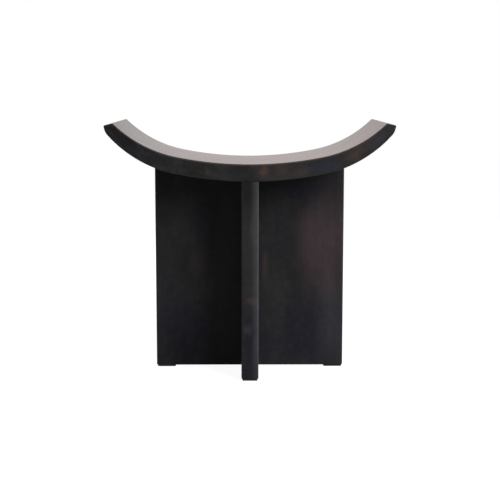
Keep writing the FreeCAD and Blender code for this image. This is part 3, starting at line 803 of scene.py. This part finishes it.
class STOOL_OT_dowels(bpy.types.Operator):
    """Finish the hidden dowels"""

    bl_idname = "stool.dowels"
    bl_label = "Dowels"

    def execute(self, context):
        beech = make_dowel_beech(context.scene.stool_finish)
        for dowels in DOWELS:
            dress(dowels, beech)
        return {"FINISHED"}


class STOOL_OT_pads(bpy.types.Operator):
    """Make the four floor pads"""

    bl_idname = "stool.pads"
    bl_label = "Floor pads"

    def execute(self, context):
        pads = context.scene.stool_pads
        rubber = make_pad_rubber(context.scene.stool_finish)
        tree = make_pad_tree()
        for name in PADS:
            node = f"floor_pad_{name}"
            low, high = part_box(node)
            sizes = {
                "Length": high.x - low.x, "Width": high.y - low.y, "Thickness": high.z - low.z,
                "Corner": pads.corner, "Place": ((low.x + high.x) / 2, (low.y + high.y) / 2, low.z),
                "Rubber": rubber,
            }
            pad = shaped(f"pad_{name}", tree, sizes, (
                ("BEVEL", {"limit_method": "ANGLE", "width": pads.ease, "segments": 2}),
            ))
            stand_for(pad, node)
        return {"FINISHED"}


def seen_ray(tree):
    """Whether a ray comes from the camera, straight or by way of gloss or glass."""
    path = add_node(tree, "ShaderNodeLightPath")
    either = add_node(tree, "ShaderNodeMath", {"operation": "MAXIMUM"},
                      {0: path.outputs["Is Camera Ray"], 1: path.outputs["Is Glossy Ray"]})
    any_of = add_node(tree, "ShaderNodeMath", {"operation": "MAXIMUM"},
                      {0: either.outputs[0], 1: path.outputs["Is Transmission Ray"]})
    return any_of.outputs[0]


def make_floor():
    """A white painted floor, which looks white and still keeps the stool's shadow."""
    mesh = bpy.data.meshes.new("floor")
    corners = [(x * FLOOR_REACH, y * FLOOR_REACH, 0) for x, y in ((-1, -1), (1, -1), (1, 1), (-1, 1))]
    mesh.from_pydata(corners, [], [(0, 1, 2, 3)])
    floor = bpy.data.objects.new("floor", mesh)
    bpy.context.scene.collection.objects.link(floor)
    material = bpy.data.materials.new("white_floor_paint")
    material.use_nodes = True
    tree = material.node_tree
    tree.nodes.clear()
    paint = add_node(tree, "ShaderNodeBsdfDiffuse", inputs={"Color": FLOOR_PAINT})
    shadow = add_node(tree, "ShaderNodeBsdfDiffuse", inputs={"Color": FLOOR_SHADOW})
    glow = add_node(tree, "ShaderNodeEmission", inputs={"Strength": FLOOR_GLOW})
    white = add_node(tree, "ShaderNodeAddShader", inputs={0: shadow.outputs[0], 1: glow.outputs[0]})
    shown = add_node(tree, "ShaderNodeMixShader", inputs={
        0: seen_ray(tree), 1: paint.outputs[0], 2: white.outputs[0]})
    add_node(tree, "ShaderNodeOutputMaterial", inputs={"Surface": shown.outputs[0]})
    mesh.materials.append(material)


def make_world(fill):
    """White all round where it is seen, and a soft even light on the stool."""
    world = bpy.data.worlds.new("studio")
    bpy.context.scene.world = world
    world.use_nodes = True
    tree = world.node_tree
    tree.nodes.clear()
    strength = add_node(tree, "ShaderNodeMapRange", inputs={"Value": seen_ray(tree), "To Min": fill})
    light = add_node(tree, "ShaderNodeBackground",
                     inputs={"Color": WHITE, "Strength": strength.outputs[0]})
    add_node(tree, "ShaderNodeOutputWorld", inputs={"Surface": light.outputs[0]})


def make_lamp(name, power, side, place):
    """A square soft box that looks at the middle of the stool."""
    lamp = bpy.data.lights.new(name, "AREA")
    lamp.energy = power
    lamp.size = side
    holder = bpy.data.objects.new(name, lamp)
    holder.location = place
    # The lamp lights the wood without a hot image of itself, so that the wax mirrors only the white room.
    holder.visible_glossy = False
    middle = (CAD_BOX[0] + CAD_BOX[1]) / 2
    holder.rotation_euler = (middle - place).to_track_quat("-Z", "Y").to_euler()
    bpy.context.scene.collection.objects.link(holder)


def make_camera(stage):
    """The camera stands in front of the stool, a little above the seat."""
    lens = bpy.data.cameras.new("camera")
    lens.sensor_width = SENSOR_WIDTH
    lens.lens = stage.focal_pixels / PHOTO_SIDE * SENSOR_WIDTH
    camera = bpy.data.objects.new("camera", lens)
    turn = stage.round_turn
    camera.location = (stage.distance * math.sin(turn), -stage.distance * math.cos(turn), stage.height)
    camera.rotation_euler = (math.pi / 2 - stage.tilt, 0, turn + stage.heading)
    bpy.context.scene.collection.objects.link(camera)
    bpy.context.scene.camera = camera


class STOOL_OT_stage(bpy.types.Operator):
    """Set up the white floor, the light and the camera"""

    bl_idname = "stool.stage"
    bl_label = "Stage"

    def execute(self, context):
        stage = context.scene.stool_stage
        context.scene.view_settings.view_transform = "Standard"
        make_floor()
        make_world(stage.fill)
        make_lamp("key", stage.key, stage.key_side, stage.key_place)
        make_lamp("back", stage.back, stage.back_side, stage.back_place)
        make_camera(stage)
        return {"FINISHED"}


class STOOL_PT_build(bpy.types.Panel):
    """Steps of the stool, in the order in which they are made"""

    bl_label = "Stool"
    bl_space_type = "VIEW_3D"
    bl_region_type = "UI"
    bl_category = "Stool"

    def draw(self, context):
        for step in STEPS:
            self.layout.operator(step.bl_idname)
        for group in GROUPS:
            settings = getattr(context.scene, group)
            box = self.layout.box()
            for name in settings.__annotations__:
                box.prop(settings, name)


STEPS = (STOOL_OT_seat, STOOL_OT_base, STOOL_OT_dowels, STOOL_OT_pads, STOOL_OT_stage)
GROUPS = {
    "stool_seat": StoolSeatSizes,
    "stool_pads": StoolPadSizes,
    "stool_finish": StoolFinish,
    "stool_stage": StoolStage,
}


def register():
    """Add the settings to the scene, then the operators and the panel."""
    for group, settings in GROUPS.items():
        bpy.utils.register_class(settings)
        setattr(bpy.types.Scene, group, PointerProperty(type=settings))
    for step in STEPS:
        bpy.utils.register_class(step)
    bpy.utils.register_class(STOOL_PT_build)


def unregister():
    """Take away what register added."""
    bpy.utils.unregister_class(STOOL_PT_build)
    for step in reversed(STEPS):
        bpy.utils.unregister_class(step)
    for group, settings in GROUPS.items():
        delattr(bpy.types.Scene, group)
        bpy.utils.unregister_class(settings)


def main():
    """Make the stool and its stage."""
    register()
    bpy.ops.stool.seat()
    bpy.ops.stool.base()
    bpy.ops.stool.dowels()
    bpy.ops.stool.pads()
    bpy.ops.stool.stage()


if __name__ == "__main__":
    main()
